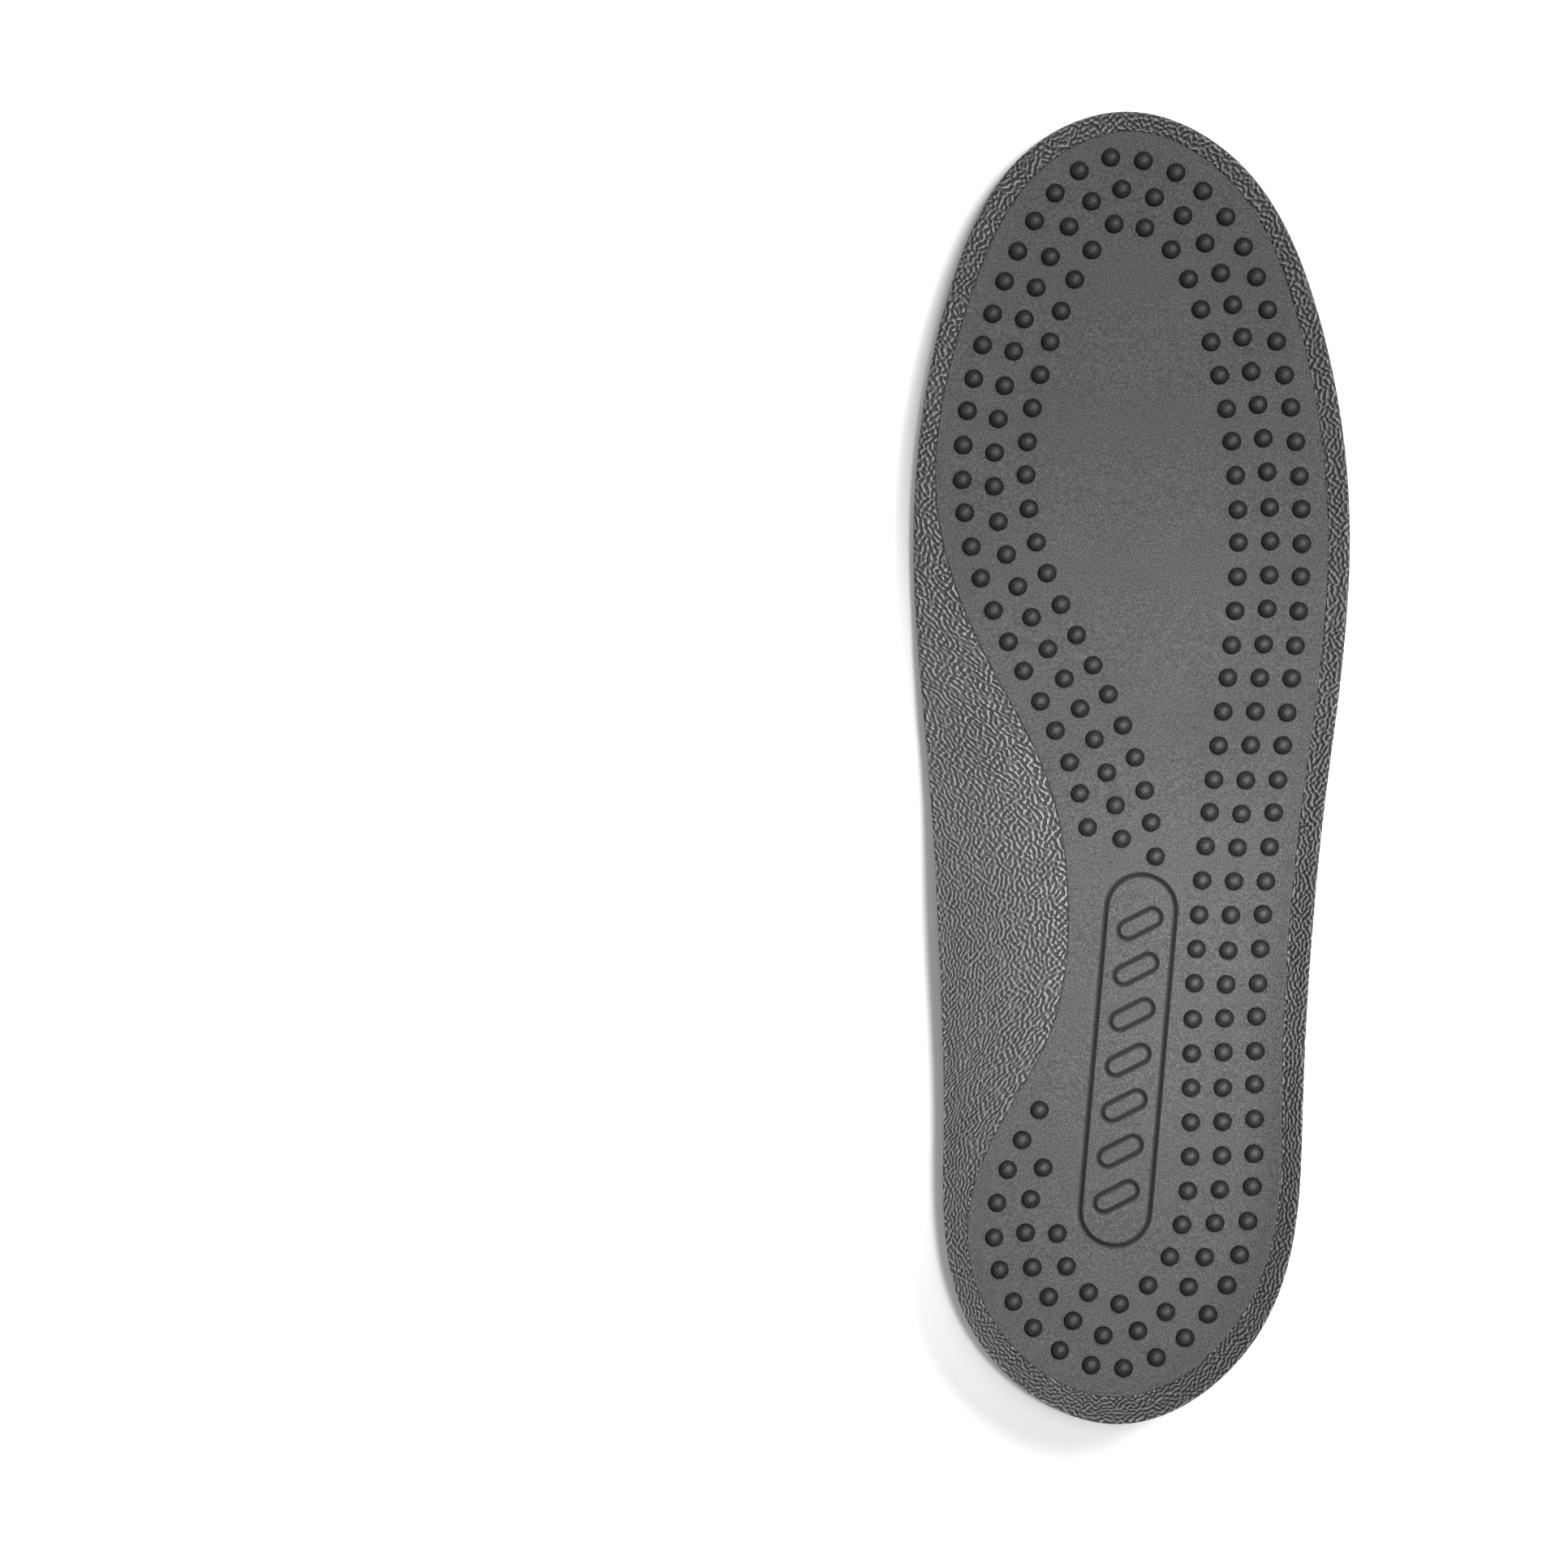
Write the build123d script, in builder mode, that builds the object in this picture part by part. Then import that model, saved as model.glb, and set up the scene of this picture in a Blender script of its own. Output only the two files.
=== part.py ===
"""Cushioned insole for a right shoe: a moulded foam footbed that drops into a slip-on.

A grain-faced foam cup forms the heel cup, the arch flank and the low side walls. Its hourglass window
holds the cushion stack: a foam core with a heel pad and a forefoot pad let in from below, a soft mat
that carries the massage nubs, and a smooth top panel with one round hole for each nub. A firm arch
support sits in a pocket under the flank, and a liner closes the underside.

Millimetres. +X is the outer (lateral) side, +Y the toe, +Z up. The origin is the middle of the
footprint, on the underside.
"""

import math
import os

from build123d import *

# Outlines seen from above, clockwise from the toe tip.
RIM = [
    (-2, 132), (20, 122.5), (36.5, 92), (43, 42), (37.5, -10), (33, -70), (24, -114),
    (-4, -132), (-32, -115.5), (-39.2, -70), (-40.2, -38), (-41.5, -10), (-45, 45), (-37, 98),
    (-22, 124),
]
WINDOW = [
    (-2, 128), (18, 119), (32.5, 90.5), (38.7, 42), (33, -10), (29.1, -66), (21, -110.5),
    (-4.6, -127), (-28.5, -112.5), (-34.2, -92), (-29, -75), (-17.5, -54), (-13.8, -29),
    (-18, -3), (-30.5, 22), (-40, 50), (-33.2, 95.5), (-20, 119.5),
]
ARCH_SUPPORT = [(-29, -14), (-24, -18), (-20.5, -36), (-23.5, -56), (-28.5, -60), (-30.5, -36)]
ARCS = 24  # arcs that make up a closed outline

# Heights and widths along the length as (y, value) pairs. The two sides agree at the toe and the heel.
RIM_HEIGHT = {
    "medial": [(-132, 19), (-90, 20), (-35, 26), (5, 15), (35, 9.5), (132, 7.2)],
    "lateral": [(-132, 19), (-90, 17.5), (-35, 15), (5, 11.5), (35, 9.5), (132, 7.2)],
}
FLANK_WIDTH = {
    "medial": [(-132, 13), (-90, 15), (-35, 28), (5, 24), (35, 9), (132, 6)],
    "lateral": [(-132, 13), (-90, 12), (-35, 10), (5, 9), (35, 7), (132, 6)],
}
FLANK_OVERRUN = 13.0  # the hollow's wall is carried on past the rim by at most this
FLANK_LEVELS = [0, 0.5, 2, 4.5, 8, 13, 21]  # heights above the floor of the hollow's sections

FLOOR = 7.9  # height of the foot's side at y = 0
FALL = 0.0125  # how fast it falls towards the toe
LEAN = 0.16  # how far the outer wall leans in per millimetre below the rim

LINER = 0.6
GLUE = 0.05  # bond line between layers
FIT = 0.1  # play around a piece set in a window, pocket or hole
POCKET_FIT = 0.25  # play around the arch support, whose tight corners are traced more loosely
PANEL = 2.4
MAT = 0.8
PANEL_PROUD = 0.4  # the panel's face stands above the grain around it
CORE_BOTTOM = LINER + GLUE
MAT_TOP = FLOOR - PANEL - GLUE
CORE_TOP = MAT_TOP - MAT - GLUE
BLANK = 26.5  # taller than the rim, lower than the hollow

NUB_RADIUS = 1.7
NUB_HEIGHT = 1.5
NUB_STEM = 8.0
NUB_PITCH = 6.9
# One row per inset from the window's edge. The arch parts each row: it runs from its heel end round
# the heel to START_Y on the lateral side, and from there round the toe to its toe end.
NUB_ROWS = [
    {"inset": 5.4, "heel_end": (-18.6, -70.0), "toe_end": (-10.9, -12.7)},
    {"inset": 11.8, "heel_end": (-18.3, -81.3), "toe_end": (-3.8, -15.1)},
    {"inset": 18.2, "heel_end": (-15.9, -94.5), "toe_end": (3.4, -18.4)},
]
START_Y = -16.5
LATERAL_X = 9.0  # every row's lateral side lies beyond this x

# Width, length and thickness of each pad, with its centre and its turn in degrees.
HEEL_PAD = {"size": (40, 52, 2.4), "at": (-4, -92), "turn": 0}
FOREFOOT_PAD = {"size": (62, 46, 1.4), "at": (-1, 50), "turn": -14}
SUPPORT_SLOPE = 20.0  # degrees, the arch support's top face
SUPPORT_EDGE = 6.6  # its height at x = SUPPORT_EDGE_X
SUPPORT_EDGE_X = -20.0


def along(table, y):
    """The value of a (y, value) table at y, eased from one pair to the next."""
    for (low, first), (high, second) in zip(table, table[1:]):
        if y <= high:
            share = (y - low) / (high - low)
            return first + (second - first) * share * share * (3 - 2 * share)
    return table[-1][1]


def side_value(tables, x, y):
    return along(tables["medial" if x < -2 else "lateral"], y)


def floor_height(y):
    return FLOOR - FALL * y


def inset(points, distance):
    """The outline drawn in by a distance, which may be a function of x and y."""
    edge = Edge.make_spline([Vector(*p) for p in points], periodic=True)
    drawn_in = []
    for place in points:
        tangent = edge.tangent_at(edge.param_at_point(Vector(*place)))
        inward = tangent.cross(Vector(0, 0, 1)).normalized()
        depth = distance(*place) if callable(distance) else distance
        drawn_in.append(tuple(Vector(*place) + inward * depth)[:2])
    return drawn_in


def trace(points):
    """Draws a smooth closed outline through the points, as arcs. Called inside a BuildLine."""
    edge = Edge.make_spline([Vector(*p) for p in points], periodic=True)
    stops = [edge.position_at(i / (2 * ARCS)) for i in range(2 * ARCS)] + [edge.position_at(0)]
    for i in range(0, 2 * ARCS, 2):
        ThreePointArc(stops[i], stops[i + 1], stops[i + 2])


def tilted(height):
    """A plane that falls towards the toe as the foot's side does."""
    return Plane(origin=(0, 0, height), x_dir=(1, 0, 0), z_dir=(0, FALL, 1))


def outer_wall(z):
    """The outer wall's outline at height z."""
    return inset(RIM, lambda x, y: LEAN * (side_value(RIM_HEIGHT, x, y) - z))


def hollow_outline(level):
    """The outline of the hollow above the foot's side, at a height above its floor."""

    def distance(x, y):
        climb = side_value(RIM_HEIGHT, x, y) - floor_height(y)
        width = side_value(FLANK_WIDTH, x, y)
        return max(width * (1 - math.sqrt(level / climb)), -FLANK_OVERRUN)

    return inset(RIM, distance)


def foot_side_height(x, y, rim_points):
    """Height of the foot's side at a point inside the rim."""
    touch = min(rim_points, key=lambda p: math.dist(p, (x, y)))
    share = max(0, 1 - math.dist(touch, (x, y)) / side_value(FLANK_WIDTH, *touch))
    floor = floor_height(y)
    return floor + (side_value(RIM_HEIGHT, *touch) - floor) * share**2


def nub_row(row):
    """Nub centres along one row, in equal steps from the start point each way to the row's ends."""
    line = Wire(Edge.make_spline([Vector(*p) for p in WINDOW], periodic=True)).offset_2d(-row["inset"])
    count = 1500
    ring = [tuple(line.position_at(i / count))[:2] for i in range(count)]

    def nearest(place):
        return min(range(count), key=lambda i: math.dist(ring[i], place))

    lateral = [i for i in range(count) if ring[i][0] > LATERAL_X]
    start = min(lateral, key=lambda i: abs(ring[i][1] - START_Y))
    heelward = 1 if ring[(start + 5) % count][1] < ring[start][1] else -1
    centres = [ring[start]]
    for direction, end in ((heelward, row["heel_end"]), (-heelward, row["toe_end"])):
        samples = (direction * (nearest(end) - start)) % count
        pieces = round(samples * line.length / count / NUB_PITCH)
        for k in range(1, pieces + 1):
            centres.append(ring[(start + direction * round(k * samples / pieces)) % count])
    return centres


def pad(spec, margin=0.0):
    """An oval pad standing on the liner's plane, or the pocket for it. Called inside a BuildPart."""
    width, length, thickness = spec["size"]
    with BuildSketch(Plane.XY.offset(CORE_BOTTOM - margin)) as oval:
        with Locations(Location((*spec["at"], 0), (0, 0, spec["turn"]))):
            Ellipse(width / 2 + margin, length / 2 + margin)
    extrude(oval.sketch, amount=thickness + 2 * margin, mode=Mode.SUBTRACT if margin else Mode.ADD)


rim_edge = Edge.make_spline([Vector(*p) for p in RIM], periodic=True)
rim_points = [tuple(rim_edge.position_at(i / 720))[:2] for i in range(720)]
window_fill = inset(WINDOW, FIT)
nubs = [
    (x, y, foot_side_height(x, y, rim_points)) for row in NUB_ROWS for x, y in nub_row(row)
]
support_top = Plane(origin=(SUPPORT_EDGE_X, 0, SUPPORT_EDGE)).rotated((0, SUPPORT_SLOPE, 0))

with BuildPart() as hollow:
    for level in FLANK_LEVELS:
        with BuildSketch(tilted(FLOOR + level)):
            with BuildLine():
                trace(hollow_outline(level))
            make_face()
    loft()

with BuildPart() as bottom_liner:
    with BuildSketch():
        with BuildLine():
            trace(outer_wall(0))
        make_face()
    extrude(amount=LINER)
bottom_liner.part.label = "bottom_liner"

with BuildPart() as arch_support:
    with BuildSketch(Plane.XY.offset(CORE_BOTTOM)):
        with BuildLine():
            trace(ARCH_SUPPORT)
        make_face()
    extrude(amount=BLANK)
    split(bisect_by=support_top, keep=Keep.BOTTOM)
arch_support.part.label = "arch_support"

with BuildPart() as arch_pocket:
    with BuildSketch():
        with BuildLine():
            trace(inset(ARCH_SUPPORT, -POCKET_FIT))
        make_face()
    extrude(amount=BLANK)
    split(bisect_by=support_top.offset(FIT), keep=Keep.BOTTOM)

with BuildPart() as contour_cup:
    for z in (CORE_BOTTOM, BLANK):
        with BuildSketch(Plane.XY.offset(z)):
            with BuildLine():
                trace(outer_wall(z))
            make_face()
    loft()
    add(hollow.part.moved(Location((0, 0, -PANEL_PROUD))), mode=Mode.SUBTRACT)
    with BuildSketch():
        with BuildLine():
            trace(WINDOW)
        make_face()
    extrude(amount=BLANK, mode=Mode.SUBTRACT)
    add(arch_pocket.part, mode=Mode.SUBTRACT)
contour_cup.part.label = "contour_cup"

with BuildPart() as heel_pad:
    pad(HEEL_PAD)
heel_pad.part.label = "heel_pad"

with BuildPart() as forefoot_pad:
    pad(FOREFOOT_PAD)
forefoot_pad.part.label = "forefoot_pad"

with BuildPart() as cushion_core:
    with BuildSketch(Plane.XY.offset(CORE_BOTTOM)):
        with BuildLine():
            trace(window_fill)
        make_face()
    extrude(amount=BLANK)
    split(bisect_by=tilted(CORE_TOP), keep=Keep.BOTTOM)
    pad(HEEL_PAD, FIT)
    pad(FOREFOOT_PAD, FIT)
cushion_core.part.label = "cushion_core"

dome = NUB_HEIGHT - NUB_RADIUS
with BuildPart() as nub:
    with BuildSketch(Plane.XZ):
        with BuildLine():
            Polyline((0, NUB_HEIGHT), (0, -NUB_STEM), (NUB_RADIUS, -NUB_STEM), (NUB_RADIUS, dome))
            CenterArc((0, dome), NUB_RADIUS, 0, 90)
        make_face()
    revolve(axis=Axis.Z)

with BuildPart() as nub_mat:
    with BuildSketch():
        with BuildLine():
            trace(window_fill)
        make_face()
    extrude(amount=BLANK)
    split(bisect_by=tilted(MAT_TOP), keep=Keep.BOTTOM)
    with Locations(*nubs):
        add(nub.part)
    split(bisect_by=tilted(MAT_TOP - MAT), keep=Keep.TOP)
nub_mat.part.label = "nub_mat"

with BuildPart() as top_panel:
    with BuildSketch():
        with BuildLine():
            trace(window_fill)
        make_face()
    extrude(amount=BLANK)
    add(hollow.part, mode=Mode.SUBTRACT)
    split(bisect_by=tilted(MAT_TOP + GLUE), keep=Keep.TOP)
    with Locations(*nubs):
        Cylinder(NUB_RADIUS + FIT, 2 * NUB_STEM, mode=Mode.SUBTRACT)
top_panel.part.label = "top_panel"

os.makedirs("parts", exist_ok=True)
for piece in (bottom_liner, arch_support, contour_cup, heel_pad, forefoot_pad, cushion_core,
              nub_mat, top_panel):
    export_step(piece.part, f"parts/{piece.part.label}.step")
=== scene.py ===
"""The visual model of a cushioned insole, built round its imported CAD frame.

Shapes are worked out in millimetres and become metres as each mesh is made. The frame is the CAD
model's: +X is the outer (lateral) side, +Y the toe, +Z up, and the origin is the middle of the
footprint, on the underside.
"""

import math

import bpy
import numpy as np
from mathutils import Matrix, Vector, geometry


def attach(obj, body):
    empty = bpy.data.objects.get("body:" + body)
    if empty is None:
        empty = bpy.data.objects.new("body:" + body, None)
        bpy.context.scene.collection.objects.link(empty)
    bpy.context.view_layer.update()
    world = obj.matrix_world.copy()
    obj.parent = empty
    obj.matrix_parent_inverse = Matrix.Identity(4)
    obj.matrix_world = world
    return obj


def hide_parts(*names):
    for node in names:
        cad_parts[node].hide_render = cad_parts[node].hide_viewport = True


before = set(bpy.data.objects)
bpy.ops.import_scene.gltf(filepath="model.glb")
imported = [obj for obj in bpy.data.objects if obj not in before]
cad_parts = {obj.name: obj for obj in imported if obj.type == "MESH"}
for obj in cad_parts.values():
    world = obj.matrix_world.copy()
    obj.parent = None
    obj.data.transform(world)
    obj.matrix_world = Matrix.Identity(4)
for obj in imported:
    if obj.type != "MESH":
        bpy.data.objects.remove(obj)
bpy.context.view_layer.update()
MM = 0.001

# ---------------------------------------------------------------- the insole's shape, in millimetres

# Outlines seen from above, clockwise from the toe tip.
RIM = [
    (-2, 132), (20, 122.5), (36.5, 92), (43, 42), (37.5, -10), (33, -70), (24, -114),
    (-4, -132), (-32, -115.5), (-39.2, -70), (-40.2, -38), (-41.5, -10), (-45, 45), (-37, 98),
    (-22, 124),
]
WINDOW = [
    (-2, 128), (18, 119), (32.5, 90.5), (38.7, 42), (33, -10), (29.1, -66), (21, -110.5),
    (-4.6, -127), (-28.5, -112.5), (-34.2, -92), (-29, -75), (-17.5, -54), (-13.8, -29),
    (-18, -3), (-30.5, 22), (-40, 50), (-33.2, 95.5), (-20, 119.5),
]
ARCH_SUPPORT = [(-29, -14), (-24, -18), (-20.5, -36), (-23.5, -56), (-28.5, -60), (-30.5, -36)]

# Heights and widths along the length as (y, value) pairs.
RIM_HEIGHT = {
    "medial": [(-132, 19), (-90, 20), (-35, 26), (5, 15), (35, 9.5), (132, 7.2)],
    "lateral": [(-132, 19), (-90, 17.5), (-35, 15), (5, 11.5), (35, 9.5), (132, 7.2)],
}
FLANK_WIDTH = {
    "medial": [(-132, 13), (-90, 15), (-35, 28), (5, 24), (35, 9), (132, 6)],
    "lateral": [(-132, 13), (-90, 12), (-35, 10), (5, 9), (35, 7), (132, 6)],
}
SIDES_MEET = (-8, 4)  # from the medial values to the lateral ones between these x

FLOOR = 7.9  # height of the foot's side at y = 0
FALL = 0.0125  # how fast it falls towards the toe
LEAN = 0.16  # how far the outer wall leans in per millimetre below the rim
LIP = 1.3  # radius of the rim's rounded edge
FOOT_EDGE = 0.5  # radius of the outer wall's rounded foot

LINER = 0.6
PANEL = 2.4
MAT = 0.8
GLUE = 0.05  # bond line between layers
FIT = 0.1  # play around a piece set in a window or a pocket
PROUD = 0.22  # the panel's face stands above the grain around it
CORE_BOTTOM = LINER + GLUE
PANEL_BOTTOM = FLOOR - PANEL
MAT_TOP = PANEL_BOTTOM - GLUE
CORE_TOP = MAT_TOP - MAT - GLUE

NUB_RADIUS = 1.7
NUB_HEIGHT = 1.4
HOLE_RADIUS = 1.78
HOLE_DROP = 0.45  # how far the skin dips into a nub's hole
HOLE_RINGS = ((0.07, 0.1), (0.25, -0.05), (0.8, 0.0))  # the skin round it, as (distance out, drop)

# Each pad's centre, width, length, thickness and turn in degrees.
PADS = {
    "heel_pad": ((-4, -92), 40, 52, 2.4, 0),
    "forefoot_pad": ((-1, 50), 62, 46, 1.4, -14),
}
SUPPORT_SLOPE = 20.0  # degrees, the arch support's top face
SUPPORT_EDGE = 6.6  # its height at x = SUPPORT_EDGE_X
SUPPORT_EDGE_X = -20.0


def closed_curve(points, count):
    """Points evenly spaced along the smooth closed curve through the given ones, with the unit
    normals that point inward. The curve is a cubic spline with a continuous second derivative."""
    p = np.array(points, float)
    n = len(p)
    chord = np.linalg.norm(np.roll(p, -1, 0) - p, axis=1)
    before = np.roll(chord, 1)
    system = np.zeros((n, n))
    for i in range(n):
        system[i, i - 1] += 1 / before[i]
        system[i, i] += 2 / before[i] + 2 / chord[i]
        system[i, (i + 1) % n] += 1 / chord[i]
    pull = (p - np.roll(p, 1, 0)) / before[:, None] ** 2
    pull = pull + (np.roll(p, -1, 0) - p) / chord[:, None] ** 2
    slope = np.linalg.solve(system, 3 * pull)
    t = np.linspace(0, 1, 200, endpoint=False)[:, None]
    spans = []
    for i in range(n):
        j = (i + 1) % n
        h = chord[i]
        spans.append(
            (2 * t**3 - 3 * t**2 + 1) * p[i] + (t**3 - 2 * t**2 + t) * h * slope[i]
            + (3 * t**2 - 2 * t**3) * p[j] + (t**3 - t**2) * h * slope[j]
        )
    dense = np.concatenate(spans)
    dense = np.vstack([dense, dense[:1]])
    run = np.concatenate([[0], np.cumsum(np.linalg.norm(np.diff(dense, axis=0), axis=1))])
    at = np.linspace(0, run[-1], count, endpoint=False)
    even = np.stack([np.interp(at, run, dense[:, k]) for k in (0, 1)], 1)
    tangent = np.roll(even, -1, 0) - np.roll(even, 1, 0)
    tangent /= np.linalg.norm(tangent, axis=1)[:, None]
    return even, np.stack([tangent[:, 1], -tangent[:, 0]], 1)


def eased(share):
    """A share from 0 to 1 that starts and ends gently."""
    return share * share * (3 - 2 * share)


def along(table, y):
    """The value of a (y, value) table at each y, eased from one pair to the next."""
    places, values = np.array(table, float).T
    step = np.clip(np.searchsorted(places, y, side="right") - 1, 0, len(places) - 2)
    share = np.clip((y - places[step]) / (places[step + 1] - places[step]), 0, 1)
    return values[step] + (values[step + 1] - values[step]) * eased(share)


def side_values(tables, places):
    """The value of a pair of medial and lateral tables at each (x, y) place."""
    medial, lateral = (along(tables[side], places[:, 1]) for side in ("medial", "lateral"))
    low, high = SIDES_MEET
    return medial + (lateral - medial) * eased(np.clip((places[:, 0] - low) / (high - low), 0, 1))


RING, RING_IN = closed_curve(RIM, 2400)
RING_HEIGHT = side_values(RIM_HEIGHT, RING)
RING_WIDTH = side_values(FLANK_WIDTH, RING)


def foot_side(points):
    """Height of the surface that the foot rests on, at (x, y) points: a sloping floor that curves
    up to the rim over the flank's width."""
    batch = 2000  # points worked out at a time, to save memory
    close = 3  # a point this near to the rim is measured square to it, so it may lie outside
    points = np.asarray(points, float)
    out = np.empty(len(points))
    for low in range(0, len(points), batch):
        part = points[low : low + batch]
        gap = ((part[:, None, :] - RING[None, ::2]) ** 2).sum(-1)
        near = gap.argmin(1) * 2
        inward = ((part - RING[near]) * RING_IN[near]).sum(1)
        away = np.where(np.sqrt(gap.min(1)) < close, inward, np.sqrt(gap.min(1)))
        share = np.clip(1 - away / RING_WIDTH[near], 0, 1.1)
        floor = FLOOR - FALL * part[:, 1]
        out[low : low + batch] = floor + (RING_HEIGHT[near] - floor) * share**2
    return out


# ---------------------------------------------------------------- mesh helpers

SHARP = math.radians(40)  # edges that turn by more than this stay sharp


def inside(points, loop):
    """Which points lie inside a closed loop."""
    x, y = points[:, 0][:, None], points[:, 1][:, None]
    a, b = loop, np.roll(loop, -1, 0)
    crosses = (a[:, 1] > y) != (b[:, 1] > y)
    rise = np.where(b[:, 1] == a[:, 1], 1e-9, b[:, 1] - a[:, 1])
    return ((x < a[:, 0] + (y - a[:, 1]) * (b[:, 0] - a[:, 0]) / rise) & crosses).sum(1) % 2 == 1


def distance_to(points, others):
    """Each point's distance to the nearest of the others."""
    return np.sqrt(((points[:, None, :] - others[None]) ** 2).sum(-1)).min(1)


def turning(angle):
    """The matrix that turns rows of (x, y) by an angle in radians."""
    c, s = math.cos(angle), math.sin(angle)
    return np.array([[c, s], [-s, c]])


def circle(centre, radius, steps):
    angle = np.arange(steps) * 2 * math.pi / steps
    return centre + radius * np.column_stack([np.cos(angle), np.sin(angle)])


def square_grid(x_range, y_range, pitch):
    return np.array([(x, y) for x in np.arange(*x_range, pitch) for y in np.arange(*y_range, pitch)])


def add_mesh(name, verts_mm, faces, material, node):
    """A piece in place of a CAD node, smooth but for the edges where it turns sharply."""
    mesh = bpy.data.meshes.new(name)
    mesh.from_pydata((np.asarray(verts_mm, float) * MM).tolist(), [], [list(f) for f in faces])
    mesh.validate()
    mesh.shade_smooth()
    mesh.set_sharp_from_angle(angle=SHARP)
    piece = bpy.data.objects.new(name, mesh)
    bpy.context.collection.objects.link(piece)
    mesh.materials.append(material)
    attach(piece, "root")
    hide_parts(node)
    return piece


class Plan:
    """A shape seen from above, gathered as loose points and closed loops whose edges the mesh
    keeps. Each point carries values of its own, such as how far the surface drops there."""

    def __init__(self):
        self.points, self.values, self.edges, self.count = [], [], [], 0

    def scatter(self, points, *values):
        """Adds points and returns their numbers. A value is one number or one for each point."""
        ids = list(range(self.count, self.count + len(points)))
        self.points.append(np.asarray(points))
        self.values.append([np.zeros(len(points)) + value for value in values])
        self.count += len(points)
        return ids

    def loop(self, points, *values):
        ids = self.scatter(points, *values)
        self.edges.extend(zip(ids, ids[1:] + ids[:1]))
        return ids

    def triangulate(self):
        """The mesh's points, its triangles facing up, each point's values, and the mesh's index
        for each point that was added."""
        flat = [Vector(v) for v in np.concatenate(self.points).tolist()]
        result = geometry.delaunay_2d_cdt(flat, self.edges, [], 0, 1e-6, True)
        points = np.array([tuple(v) for v in result[0]])
        source = np.array([origin[0] for origin in result[3]])
        tris = np.array(result[2])
        a, b, c = (points[tris[:, k]] for k in range(3))
        up = (b[:, 0] - a[:, 0]) * (c[:, 1] - a[:, 1]) - (b[:, 1] - a[:, 1]) * (c[:, 0] - a[:, 0]) > 0
        where = {origin: i for i, origins in enumerate(result[3]) for origin in origins}
        values = [np.concatenate(column)[source] for column in zip(*self.values)]
        return points, np.where(up[:, None], tris, tris[:, ::-1]), values, where


def closed_sheet(above, below, tris, walls):
    """A closed body from two layers of points: the triangles on the upper one, the same turned over
    on the lower one, and a wall of quads along each closed line of indices."""
    count = len(above)
    faces = [tuple(t) for t in tris.tolist()] + [tuple(t) for t in (tris[:, ::-1] + count).tolist()]
    for line in walls:
        faces.extend((i, j, j + count, i + count) for i, j in zip(line, line[1:] + line[:1]))
    return np.vstack([above, below]), faces


def tube_faces(rows, count):
    """Quads between consecutive rows of a grid whose rows close round."""
    faces = []
    for r in range(rows - 1):
        for i in range(count):
            j = (i + 1) % count
            faces.append((r * count + i, r * count + j, (r + 1) * count + j, (r + 1) * count + i))
    return faces


# ---------------------------------------------------------------- materials


def rgba(value):
    """A grey level or a colour as four numbers."""
    return (*value, 1) if hasattr(value, "__len__") else (value, value, value, 1)


class Nodes:
    """A short way to build a node tree. Texture scales are per metre, and per millimetre on the
    cup's grain map."""

    def __init__(self, name):
        self.material = bpy.data.materials.new(name)
        self.material.use_nodes = True
        self.tree = self.material.node_tree
        self.shader = self.tree.nodes["Principled BSDF"]
        self.place = self.add("ShaderNodeTexCoord").outputs["Object"]

    def feed(self, socket, value):
        """Links a socket to another one, or sets it to a constant."""
        if isinstance(value, bpy.types.NodeSocket):
            self.tree.links.new(value, socket)
        else:
            socket.default_value = rgba(value) if socket.type == "RGBA" else value

    def add(self, kind, inputs=None, **settings):
        node = self.tree.nodes.new(kind)
        for key, value in settings.items():
            setattr(node, key, value)
        for key, value in (inputs or {}).items():
            self.feed(node.inputs[key], value)
        return node

    def math(self, operation, a, b=0.0, clamp=False):
        node = self.add("ShaderNodeMath", {0: a, 1: b}, operation=operation, use_clamp=clamp)
        return node.outputs[0]

    def noise(self, scale, detail=3.0, roughness=0.5):
        return self.add(
            "ShaderNodeTexNoise",
            {"Vector": self.place, "Scale": scale, "Detail": detail, "Roughness": roughness},
        ).outputs["Fac"]

    def ramp(self, factor, stops):
        node = self.add("ShaderNodeValToRGB", {"Fac": factor})
        ramp = node.color_ramp
        while len(ramp.elements) < len(stops):
            ramp.elements.new(0.5)
        for element, (place, value) in zip(ramp.elements, stops):
            element.position = place
            element.color = rgba(value)
        return node.outputs["Color"]

    def mix(self, factor, a, b):
        """A mix of two colours. The node's colour sockets are numbers 6 and 7."""
        return self.add("ShaderNodeMix", {0: factor, 6: a, 7: b}, data_type="RGBA").outputs[2]

    def bump(self, height, distance, strength=1.0, normal=None):
        inputs = {"Height": height, "Distance": distance, "Strength": strength}
        if normal:
            inputs["Normal"] = normal
        return self.add("ShaderNodeBump", inputs).outputs["Normal"]

    def finish(self, colour, roughness, normal=None, specular=0.5, sheen=0.0):
        self.feed(self.shader.inputs["Base Color"], colour)
        self.feed(self.shader.inputs["Roughness"], roughness)
        if normal:
            self.feed(self.shader.inputs["Normal"], normal)
        self.shader.inputs["Specular IOR Level"].default_value = specular
        self.shader.inputs["Sheen Weight"].default_value = sheen
        return self.material


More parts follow.
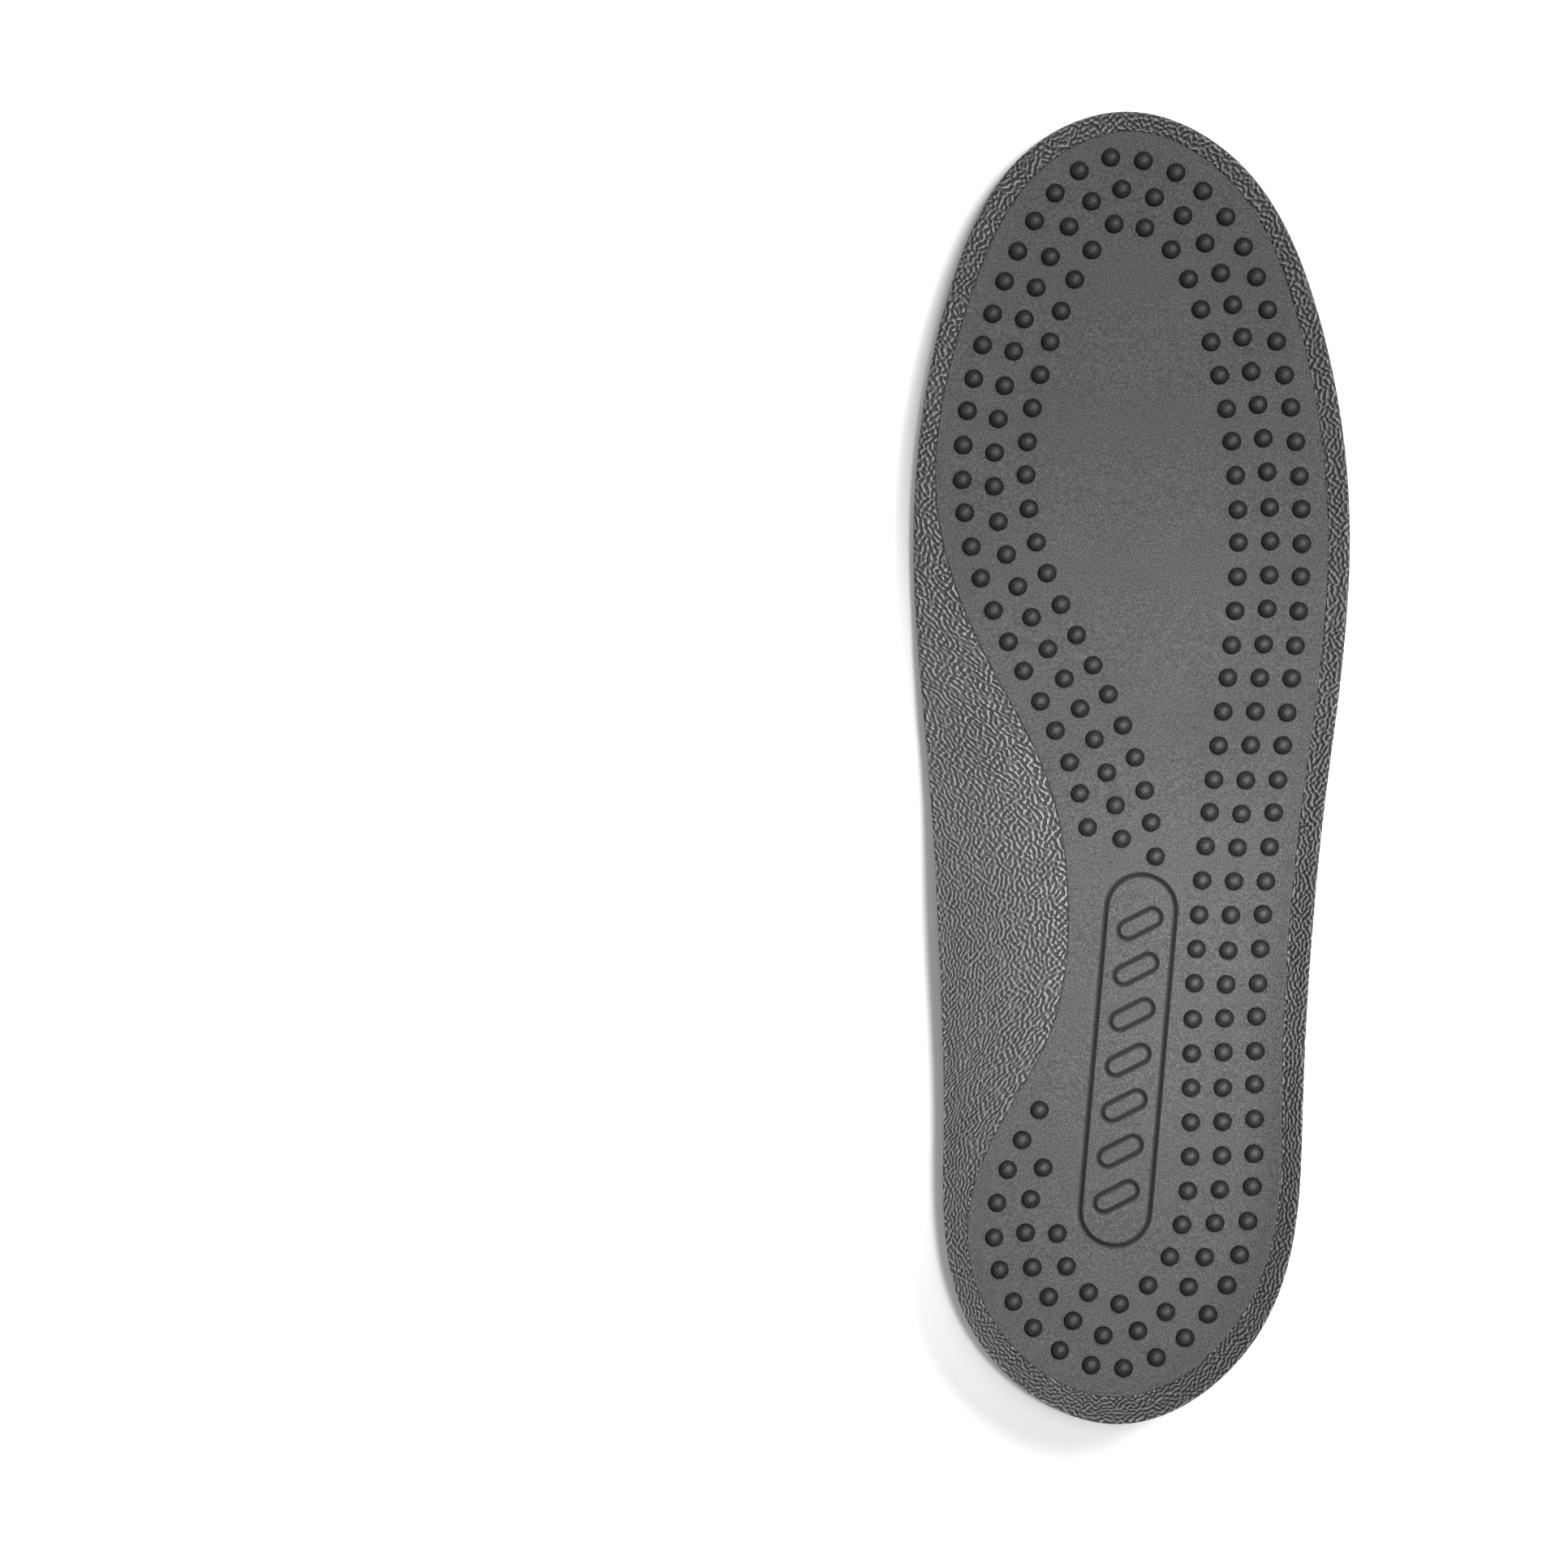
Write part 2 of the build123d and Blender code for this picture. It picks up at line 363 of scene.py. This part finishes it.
def cup_foam():
    """Moulded foam with fine worm-like wrinkles that run mostly along the rim. The grain follows the
    cup's own "grain" map, in millimetres along and across the rim."""
    n = Nodes("cup_foam")
    n.place = n.add("ShaderNodeUVMap", uv_map="grain").outputs["UV"]

    # A slow noise bends the grain. The mix shrinks the map, and the scale restores it.
    sway = 0.45
    bend = n.add("ShaderNodeTexNoise", {"Vector": n.place, "Scale": 0.35, "Detail": 1.0})
    swayed = n.add(
        "ShaderNodeMix", {0: sway, 4: n.place, 5: bend.outputs["Color"]}, data_type="VECTOR"
    ).outputs[1]
    swayed = n.add(
        "ShaderNodeVectorMath", {0: swayed, 3: 1 / (1 - sway)}, operation="SCALE"
    ).outputs[0]
    # Socket 4 is the orientation, a quarter turn here.
    wrinkle = n.add(
        "ShaderNodeTexGabor",
        {"Vector": swayed, "Scale": 0.46, "Frequency": 2.0, "Anisotropy": 0.35, 4: math.pi / 2},
        gabor_type="2D",
    ).outputs["Value"]
    ridge = n.ramp(wrinkle, [(0.34, 0.0), (0.60, 1.0)])

    # Painted shade and painted highlight: the colour runs from near black in the wrinkles' creases to
    # light on their ridge tops.
    tone = n.ramp(ridge, [(0.0, 0.006), (0.5, 0.040), (1.0, 0.165)])
    tone = n.mix(0.2, tone, n.ramp(n.noise(0.06), [(0.35, 0.030), (0.65, 0.080)]))
    roughness = n.math("SUBTRACT", 0.68, n.math("MULTIPLY", ridge, 0.14))
    normal = n.bump(n.noise(5.2, detail=1.0), 0.00003, 0.4)
    normal = n.bump(ridge, 0.00060, 1.0, normal)
    return n.finish(tone, roughness, normal, specular=0.45, sheen=0.02)


def panel_foam():
    """Smooth satin skin, fine orange peel, a few dark specks, painted shade in the debossed lines."""
    n = Nodes("panel_foam")
    peel = n.noise(2700, roughness=0.7)
    tone = n.ramp(peel, [(0.36, 0.018), (0.50, 0.052), (0.64, 0.115)])
    tone = n.mix(0.2, tone, n.ramp(n.noise(30, detail=2.0), [(0.35, 0.040), (0.65, 0.080)]))
    specks = n.ramp(n.noise(1500, detail=2.0, roughness=0.7), [(0.64, 0.0), (0.69, 1.0)])
    tone = n.mix(n.math("MULTIPLY", specks, 0.75), tone, 0.006)
    # Painted shade: a mask from the panel mesh takes the colour towards near black in the motif's
    # grooves and also roughens them.
    groove_shade_mask = n.add("ShaderNodeAttribute", attribute_name="groove_shade_mask").outputs["Fac"]
    tone = n.mix(groove_shade_mask, tone, 0.002)
    roughness = n.math("ADD", 0.36, n.math("MULTIPLY", peel, 0.14))
    roughness = n.math("ADD", roughness, n.math("MULTIPLY", groove_shade_mask, 0.5), clamp=True)
    return n.finish(tone, roughness, n.bump(peel, 0.00045), specular=0.7, sheen=0.03)


def nub_rubber():
    """Dark rubber with a fine moulded texture."""
    n = Nodes("nub_rubber")
    peel = n.noise(2600, detail=2.0)
    tone = n.ramp(peel, [(0.38, 0.008), (0.62, 0.024)])
    return n.finish(tone, 0.5, n.bump(peel, 0.00008), specular=0.3)


def soft_foam(name, low, high, scale=1400):
    """Open-cell foam with visible pores."""
    n = Nodes(name)
    pores = n.add("ShaderNodeTexVoronoi", {"Vector": n.place, "Scale": scale}).outputs["Distance"]
    tone = n.mix(n.ramp(pores, [(0.0, 0.0), (0.5, 1.0)]), low, high)
    tone = n.mix(0.25, tone, n.ramp(n.noise(60), [(0.3, low), (0.7, high)]))
    return n.finish(tone, 0.9, n.bump(pores, 0.0003, 0.8), specular=0.3)


def gel():
    """Cloudy blue-grey gel that lets a little light in."""
    n = Nodes("pad_gel")
    cloud = n.noise(160)
    tone = n.ramp(cloud, [(0.3, (0.018, 0.035, 0.060)), (0.7, (0.035, 0.062, 0.095))])
    material = n.finish(tone, 0.22, n.bump(cloud, 0.0002, 0.4), specular=0.6)
    n.shader.inputs["Subsurface Weight"].default_value = 0.4
    n.shader.inputs["Subsurface Radius"].default_value = (0.002, 0.003, 0.004)
    return material


def liner_cloth():
    """A fine plain weave, laid a little askew."""
    n = Nodes("liner_fabric")
    threads = []
    for turn in (0.0, math.pi / 2):
        place = n.add(
            "ShaderNodeMapping", {"Vector": n.place, "Rotation": (0, 0, turn + math.radians(8))}
        ).outputs["Vector"]
        wave = n.add(
            "ShaderNodeTexWave",
            {"Vector": place, "Scale": 240.0, "Distortion": 0.6, "Detail": 1.0, "Detail Scale": 3.0},
        )
        threads.append(wave.outputs["Fac"])
    weave = n.math("MAXIMUM", *threads)
    fuzz = n.math("ADD", n.noise(4000, detail=2.0), 0.4)
    tone = n.ramp(n.math("MULTIPLY", weave, fuzz), [(0.1, 0.05), (0.9, 0.17)])
    return n.finish(tone, 0.85, n.bump(weave, 0.00012, 0.9), specular=0.25, sheen=0.25)


# ---------------------------------------------------------------- the cup


def window_match(count):
    """For each of count stations on the rim, the point of the window's edge that faces it, and the
    inward normal there."""
    edge, inward = closed_curve(WINDOW, 4000)
    rim = RING[:: len(RING) // count]
    facing = ((edge[:, None, :] - rim[None]) ** 2).sum(-1).argmin(1).astype(float)
    turns = np.concatenate([[0], np.cumsum((np.diff(facing) + count / 2) % count - count / 2)])
    stations = facing[0] + np.maximum.accumulate(turns)
    # Where the window bends away from the rim, many of its points face one station. A moving
    # average spreads them out, and a slight slope keeps them in order.
    width = 61
    wrapped = np.concatenate([stations - count, stations, stations + count])
    spread = np.convolve(wrapped, np.ones(width) / width, "same")[len(edge) : 2 * len(edge)]
    spread = spread + np.linspace(0, 1e-3, len(edge))
    reach = np.concatenate([spread - count, spread, spread + count])
    index = np.interp(np.arange(count), reach, np.arange(-len(edge), 2 * len(edge)))
    whole = np.floor(index).astype(int)
    part = (index - whole)[:, None]

    def between(table):
        return table[whole % len(edge)] * (1 - part) + table[(whole + 1) % len(edge)] * part

    return between(edge), between(inward)


def map_grain(cup, rows, rim):
    """Gives the cup its "grain" map, in millimetres along the rim and across it. A quad that closes
    a row ends at the whole length round, not back at nought."""
    count = len(rim)
    steps = np.linalg.norm(np.diff(rim, axis=0, append=rim[:1]), axis=1)
    around = np.concatenate([[0], np.cumsum(steps)])
    grid = np.array(rows)
    across = np.cumsum(np.linalg.norm(np.diff(grid, axis=0, prepend=grid[:1]), axis=2), axis=0)
    corner = np.empty(len(cup.data.loops), int)
    cup.data.loops.foreach_get("vertex_index", corner)
    corner = corner.reshape(-1, 4)
    row_of, station = corner // count, corner % count
    closing = (station.max(1) == count - 1) & (station.min(1) == 0)
    along_rim = around[np.where(closing[:, None] & (station == 0), count, station)]
    grain = np.stack([along_rim, across[row_of, station]], -1)
    cup.data.uv_layers.new(name="grain").data.foreach_set("uv", grain.astype(np.float32).ravel())


def make_cup(material):
    """The cup as a ring of rows: up the window's wall, over its edge, up the flank, over the lip,
    down the outer wall, round its foot and back along the underside."""
    wall_depth = 1.4  # a row of points this far down the window's wall
    window_edge = ((0.0, 0.22), (0.04, 0.09), (0.12, 0.02), (0.35, 0.0))  # (distance out, drop)
    flank_steps, lip_steps, wall_steps, foot_steps = 30, 8, 14, 3
    flank_start = 0.8  # distance out from the window
    wall_bow = 0.5
    rim, rim_in = RING[::2], RING_IN[::2]
    count = len(rim)
    height = RING_HEIGHT[::2] - PROUD
    window, window_in = window_match(count)
    rows = []

    def row(xy, z):
        rows.append(np.column_stack([xy, z]))

    top = foot_side(window) - PROUD
    row(window, np.full(count, CORE_BOTTOM))
    row(window, top - wall_depth)
    for out, drop in window_edge:
        row(window - window_in * out, top - drop)

    lip_start = rim + rim_in * LIP
    inner = window - window_in * flank_start
    for share in np.linspace(0, 1, flank_steps) ** 0.9:
        xy = inner + (lip_start - inner) * share
        row(xy, foot_side(xy) - PROUD)

    for k in range(1, lip_steps + 1):
        angle = math.pi / 2 * k / lip_steps
        xy = rim + rim_in * (LIP * (1 - math.sin(angle)))
        row(xy, foot_side(xy) - PROUD - LIP * (1 - math.cos(angle)))

    wall_top = height - LIP
    foot = CORE_BOTTOM + FOOT_EDGE
    for share in np.linspace(0, 1, wall_steps)[1:]:
        z = wall_top + (foot - wall_top) * share
        bow = wall_bow * np.sin(math.pi * share)
        row(rim + rim_in * (LEAN * (height - z) + bow)[:, None], z)

    for k in range(1, foot_steps + 1):
        angle = math.pi / 2 * k / foot_steps
        depth = LEAN * (height - CORE_BOTTOM) + FOOT_EDGE * (1 - math.cos(angle))
        row(rim + rim_in * depth[:, None], np.full(count, foot - FOOT_EDGE * math.sin(angle)))

    verts = np.concatenate(rows)
    rows.append(rows[0])
    faces = [tuple(v % len(verts) for v in face) for face in tube_faces(len(rows), count)]
    cup = add_mesh("cup_skin", verts, faces, material, "contour_cup")
    map_grain(cup, rows, rim)
    return cup


# ---------------------------------------------------------------- the panel and the nubs


def nub_places():
    """Centres of the nubs, read from the CAD mat: each is a cluster of vertices above the mat."""
    slack = 0.2
    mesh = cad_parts["nub_mat"].data
    flat = np.empty(len(mesh.vertices) * 3)
    mesh.vertices.foreach_get("co", flat)
    points = flat.reshape(-1, 3) / MM
    points = points[points[:, 2] > MAT_TOP - FALL * points[:, 1] + slack]
    centres = []
    while len(points):
        peak = points[points[:, 2].argmax()]
        mine = np.linalg.norm(points[:, :2] - peak[:2], axis=1) < 2 * NUB_RADIUS - slack
        group = points[mine][:, :2]
        centres.append((group.min(0) + group.max(0)) / 2)
        points = points[~mine]
    return np.array(centres)


def stadium(half_length, radius, steps):
    """A closed loop with half-round ends and points along its straight sides."""
    angle = np.linspace(0, math.pi, steps)
    cap = radius * np.column_stack([np.cos(angle), np.sin(angle)]) + (0, half_length)
    down = np.linspace(half_length, -half_length, 2 + int(4 * half_length))[1:-1]
    half = np.vstack([cap, np.column_stack([np.full(len(down), -radius), down])])
    return np.vstack([half, -half])


def motif_grooves():
    """The debossed motif: a long rounded frame round slanted bars, each outlined by one V groove.
    Each groove is a list of (closed loop, drop) from its outer shoulder to its inner one."""
    centre, lean = np.array([-1.8, -59.5]), math.radians(-5)
    bars, first_bar, bar_pitch, slant = 7, -27.6, 9.2, math.radians(-58)
    margin = 0.3  # flat skin kept on each side of a groove
    shoulder, shoulder_drop = 0.07, 0.12
    half_bottom = 0.08

    def groove(half_length, radius, width, deep, steps, turn, at):
        middle = width / 2
        profile = (
            (-margin, 0), (0, 0), (shoulder, shoulder_drop), (middle - half_bottom, deep),
            (middle + half_bottom, deep), (width - shoulder, shoulder_drop), (width, 0),
            (width + margin, 0),
        )
        loops = []
        for inward, down in profile:
            loop = stadium(half_length, radius - inward, steps) @ turning(turn) + at
            loops.append((loop @ turning(lean) + centre, down))
        return loops

    outer_frame = {"half_length": 30.5, "radius": 7.6, "width": 1.2, "deep": 1.3, "steps": 28}
    bar = {"half_length": 2.8, "radius": 2.4, "width": 1.15, "deep": 1.2, "steps": 14}
    grooves = [groove(**outer_frame, turn=0.0, at=(0, 0))]
    for k in range(bars):
        grooves.append(groove(**bar, turn=slant, at=(0, first_bar + bar_pitch * k)))
    return grooves


def panel_grid(edge, edge_in, centres, grooves):
    """Points in staggered rows over the panel, clear of its edge, its holes and the motif."""
    pitch = 1.5
    row_pitch = pitch * 0.866
    from_edge, from_hole, from_groove = 1.5, 1.4, 0.5
    grid = np.array([
        (x + (pitch / 2 if j % 2 else 0), y)
        for j, y in enumerate(np.arange(-130, 130, row_pitch))
        for x in np.arange(-44, 42, pitch)
    ])
    grid = grid[inside(grid, edge + edge_in * from_edge)]
    grid = grid[distance_to(grid, centres) > HOLE_RADIUS + from_hole]
    drawn = np.concatenate([points for shape in grooves for points, _ in shape])
    return grid[distance_to(grid, drawn) > from_groove]


def make_panel(material, centres):
    """The top panel: a skin that follows the foot's side, with a hole for each nub, a rounded edge
    and the debossed motif. Its groove attribute is 1 in the motif's grooves, where it paints shade."""
    hole_steps = 24
    edge_rounding = ((0.03, 0.34), (0.09, 0.14), (0.24, 0.03), (0.6, 0.0))  # (distance in, drop)
    edge, edge_in = closed_curve(WINDOW, 900)
    grooves = motif_grooves()
    plan = Plan()
    rim_loops = [plan.loop(edge + edge_in * inset, -drop) for inset, drop in edge_rounding]
    hole_loops = [plan.loop(circle(c, HOLE_RADIUS, hole_steps), -HOLE_DROP) for c in centres]
    for out, drop in HOLE_RINGS:
        for c in centres:
            plan.loop(circle(c, HOLE_RADIUS + out, hole_steps), -drop)
    for shape in grooves:
        for points, drop in shape:
            plan.loop(points, -drop)
    plan.scatter(panel_grid(edge, edge_in, centres, grooves), 0)

    points, tris, (rise,), where = plan.triangulate()
    middle = points[tris].mean(1)
    keep = inside(middle, edge + edge_in * edge_rounding[0][0])
    tris = tris[keep & (distance_to(middle, centres) > HOLE_RADIUS - 0.02)]
    top = np.column_stack([points, foot_side(points) + rise])
    bottom = np.column_stack([points, PANEL_BOTTOM - FALL * points[:, 1]])
    walls = [[where[k] for k in line] for line in [rim_loops[0]] + hole_loops]
    verts, faces = closed_sheet(top, bottom, tris, walls)
    panel = add_mesh("panel_skin", verts, faces, material, "top_panel")

    motif_edge = grooves[0][0][0]
    # Painted shade: the grooves' colour darkens this much per millimetre of depth, up to full.
    groove_shade_per_mm = 3.5  # per millimetre of depth
    groove_shade_mask = np.where(inside(points, motif_edge), np.clip(-groove_shade_per_mm * rise, 0, 1), 0)
    attribute = panel.data.attributes.new("groove_shade_mask", "FLOAT", "POINT")
    attribute.data.foreach_set("value", np.concatenate([groove_shade_mask, groove_shade_mask * 0]).astype(np.float32))
    return panel


def make_nubs(material, centres):
    """A domed stem through each of the panel's holes, and the thin web that carries them."""
    rings, segments = 9, 28
    stem_foot = 0.3  # a stem reaches this far into the web
    collar = 0.6  # a ring of points on the stem's wall, this far below the panel's face
    squareness = 0.85  # under 1, a dome is fuller than a half ball
    verts, faces = [], []
    for (x, y), z in zip(centres, foot_side(centres)):
        start = len(verts)
        base = MAT_TOP - FALL * y - stem_foot
        profile = [(NUB_RADIUS, base), (NUB_RADIUS, z - collar)]
        for k in range(rings):
            angle = math.pi / 2 * k / rings
            profile.append(
                (NUB_RADIUS * math.cos(angle) ** squareness, z + NUB_HEIGHT * math.sin(angle))
            )
        for radius, level in profile:
            verts += [(*p, level) for p in circle(np.array((x, y)), radius, segments)]
        faces += [tuple(start + v for v in face) for face in tube_faces(len(profile), segments)]
        tip = len(verts)
        verts += [(x, y, z + NUB_HEIGHT), (x, y, base)]
        last = tip - segments
        for i in range(segments):
            j = (i + 1) % segments
            faces += [(last + i, last + j, tip), (start + j, start + i, tip + 1)]

    count = 400
    web, web_in = closed_curve(WINDOW, count)
    web = web + web_in * 0.15
    start = len(verts)
    for level in (MAT_TOP - MAT, MAT_TOP):
        verts += [(x, y, level - FALL * y) for x, y in web]
    faces.append(tuple(range(start, start + count)))
    faces.append(tuple(range(start + count, start + 2 * count))[::-1])
    for i in range(count):
        j = (i + 1) % count
        faces.append((start + i, start + count + i, start + count + j, start + j))
    add_mesh("nub_domes", verts, faces, material, "nub_mat")


# ---------------------------------------------------------------- the underside


def make_liner(material):
    """The flat cloth under the insole, cut to the foot of the cup's outer wall."""
    rim, rim_in = closed_curve(RIM, 500)
    outline = rim + rim_in * (LEAN * side_values(RIM_HEIGHT, rim))[:, None]
    grid = square_grid((-44, 44), (-130, 131), 4.0)
    plan = Plan()
    border = plan.loop(outline)
    plan.scatter(grid[inside(grid, outline + rim_in * 2)])
    points, tris, _, where = plan.triangulate()
    tris = tris[inside(points[tris].mean(1), outline)]
    inner = np.column_stack([points, np.full(len(points), LINER)])
    outer = np.column_stack([points, np.zeros(len(points))])
    verts, faces = closed_sheet(inner, outer, tris, [[where[k] for k in border]])
    piece = add_mesh("liner_sheet", verts, faces, material, "bottom_liner")


# ---------------------------------------------------------------- the inner layers


def slab(name, outline, inward, bottom, top, material, node, hollows=()):
    """A soft slab with rounded edges between two heights given as functions of (x, y) points.
    Each hollow in its underside is a closed loop and a depth."""
    rounding = 0.35
    plan = Plan()
    borders = []
    for angle in np.linspace(0, math.pi / 2, 5):
        line = outline + inward * rounding * (1 - math.cos(angle))
        borders.append(plan.loop(line, rounding * (1 - math.sin(angle)), 0))
    for ring, depth in hollows:
        middle = ring.mean(0)
        plan.loop(ring, 0, 0)
        plan.loop(middle + (ring - middle) * 0.998, 0, depth)
    grid = square_grid(*zip(outline.min(0), outline.max(0)), 2.5)
    grid = grid[inside(grid, outline + inward * 1.2)]
    depths = np.zeros(len(grid))
    for ring, depth in hollows:
        depths[inside(grid, ring)] = depth
    plan.scatter(grid, 0, depths)

    points, tris, (drop, raised), where = plan.triangulate()
    tris = tris[inside(points[tris].mean(1), outline)]
    above = np.column_stack([points, top(points) - drop])
    below = np.column_stack([points, bottom(points) + drop + raised])
    verts, faces = closed_sheet(above, below, tris, [[where[k] for k in borders[0]]])
    piece = add_mesh(name, verts, faces, material, node)


def oval(centre, width, length, turn, margin=0.0):
    """A pad's outline seen from above, clockwise, with its inward normals."""
    steps = 160
    angle = -np.arange(steps) * 2 * math.pi / steps
    half = np.array([width / 2 + margin, length / 2 + margin])
    unit = np.column_stack([np.cos(angle), np.sin(angle)])
    normals = -unit / half
    normals /= np.linalg.norm(normals, axis=1)[:, None]
    spin = turning(math.radians(turn))
    return (half * unit) @ spin + centre, normals @ spin


def level(height, fall=0.0):
    """A flat height, or one that falls towards the toe, as a function of (x, y) points."""
    return lambda points: height - fall * points[:, 1]


def support_top(points):
    """The arch support's top face, which rises towards the medial side."""
    return SUPPORT_EDGE - (points[:, 0] - SUPPORT_EDGE_X) * math.tan(math.radians(SUPPORT_SLOPE))


def make_inner_layers():
    """The two pads, the core over them with a hollow for each, and the arch support."""
    pad_gel = gel()
    hollows = []
    for node, (centre, width, length, thickness, turn) in PADS.items():
        outline, inward = oval(centre, width, length, turn)
        slab(node + "_soft", outline, inward, level(CORE_BOTTOM), level(CORE_BOTTOM + thickness),
             pad_gel, node)
        hollows.append((oval(centre, width, length, turn, FIT)[0], thickness + FIT))
    outline, inward = closed_curve(WINDOW, 600)
    slab("core_soft", outline + inward * FIT, inward, level(CORE_BOTTOM), level(CORE_TOP, FALL),
         soft_foam("core_foam", 0.10, 0.20), "cushion_core", hollows)
    outline, inward = closed_curve(ARCH_SUPPORT, 300)
    slab("arch_soft", outline + inward * FIT, inward, level(CORE_BOTTOM), support_top,
         soft_foam("support_foam", 0.02, 0.05, 2200), "arch_support")


nub_centres = nub_places()
cup = make_cup(cup_foam())
panel = make_panel(panel_foam(), nub_centres)
make_nubs(nub_rubber(), nub_centres)
make_liner(liner_cloth())
make_inner_layers()

# ---------------------------------------------------------------- floor, light and camera, in metres

FLOOR_REACH = 3
WORLD_LIGHT = 0.32
KEY = {"place": (0.50, 0.42, 0.95), "size": (0.45, 0.45), "watts": 13}
SHEEN = {"place": (0.06, 0.02, 1.55), "size": (0.35, 0.6), "watts": 7.5}
POOL_PLACE, POOL_AIM = (0.10, -0.03, 1.2), (0.006, -0.038, 0)
CAMERA_PLACE = (-0.0711, -0.0038, 1.40)  # looking straight down, with the insole to the right


def add_object(name, data):
    thing = bpy.data.objects.new(name, data)
    bpy.context.collection.objects.link(thing)
    return thing


def hang_lamp(light, place, aim):
    lamp = add_object(light.name, light)
    lamp.location = place
    lamp.rotation_euler = (Vector(aim) - Vector(place)).to_track_quat("-Z", "Y").to_euler()


def area_light(name, place, size, watts):
    """A rectangular light aimed at the origin."""
    light = bpy.data.lights.new(name, "AREA")
    light.energy = watts
    light.shape = "RECTANGLE"
    light.size, light.size_y = size
    hang_lamp(light, place, (0, 0, 0))


def make_floor():
    corners = [(-1, -1), (1, -1), (1, 1), (-1, 1)]
    mesh = bpy.data.meshes.new("floor")
    mesh.from_pydata([(x * FLOOR_REACH, y * FLOOR_REACH, 0) for x, y in corners], [], [(0, 1, 2, 3)])
    paper = Nodes("paper")
    tone = paper.ramp(paper.noise(20, detail=2.0), [(0.3, 0.90), (0.7, 0.92)])
    mesh.materials.append(paper.finish(tone, 0.9, specular=0.1))
    add_object("floor", mesh)


make_floor()

bpy.context.scene.view_settings.view_transform = "Standard"
world = bpy.data.worlds.new("studio")
bpy.context.scene.world = world
world.use_nodes = True
background = world.node_tree.nodes["Background"]
background.inputs["Color"].default_value = (1, 1, 1, 1)
background.inputs["Strength"].default_value = WORLD_LIGHT

area_light("key", **KEY)
area_light("sheen", **SHEEN)

# A narrow soft spot brightens the middle of the insole.
pool = bpy.data.lights.new("pool", "SPOT")
pool.energy = 105
pool.spot_size = math.radians(9.4)
pool.spot_blend = 1.0
pool.shadow_soft_size = 0.08
hang_lamp(pool, POOL_PLACE, POOL_AIM)

camera = bpy.data.cameras.new("camera")
camera.lens = 158.5
camera.sensor_width = 36
eye = add_object("camera", camera)
eye.location = CAMERA_PLACE
bpy.context.scene.camera = eye
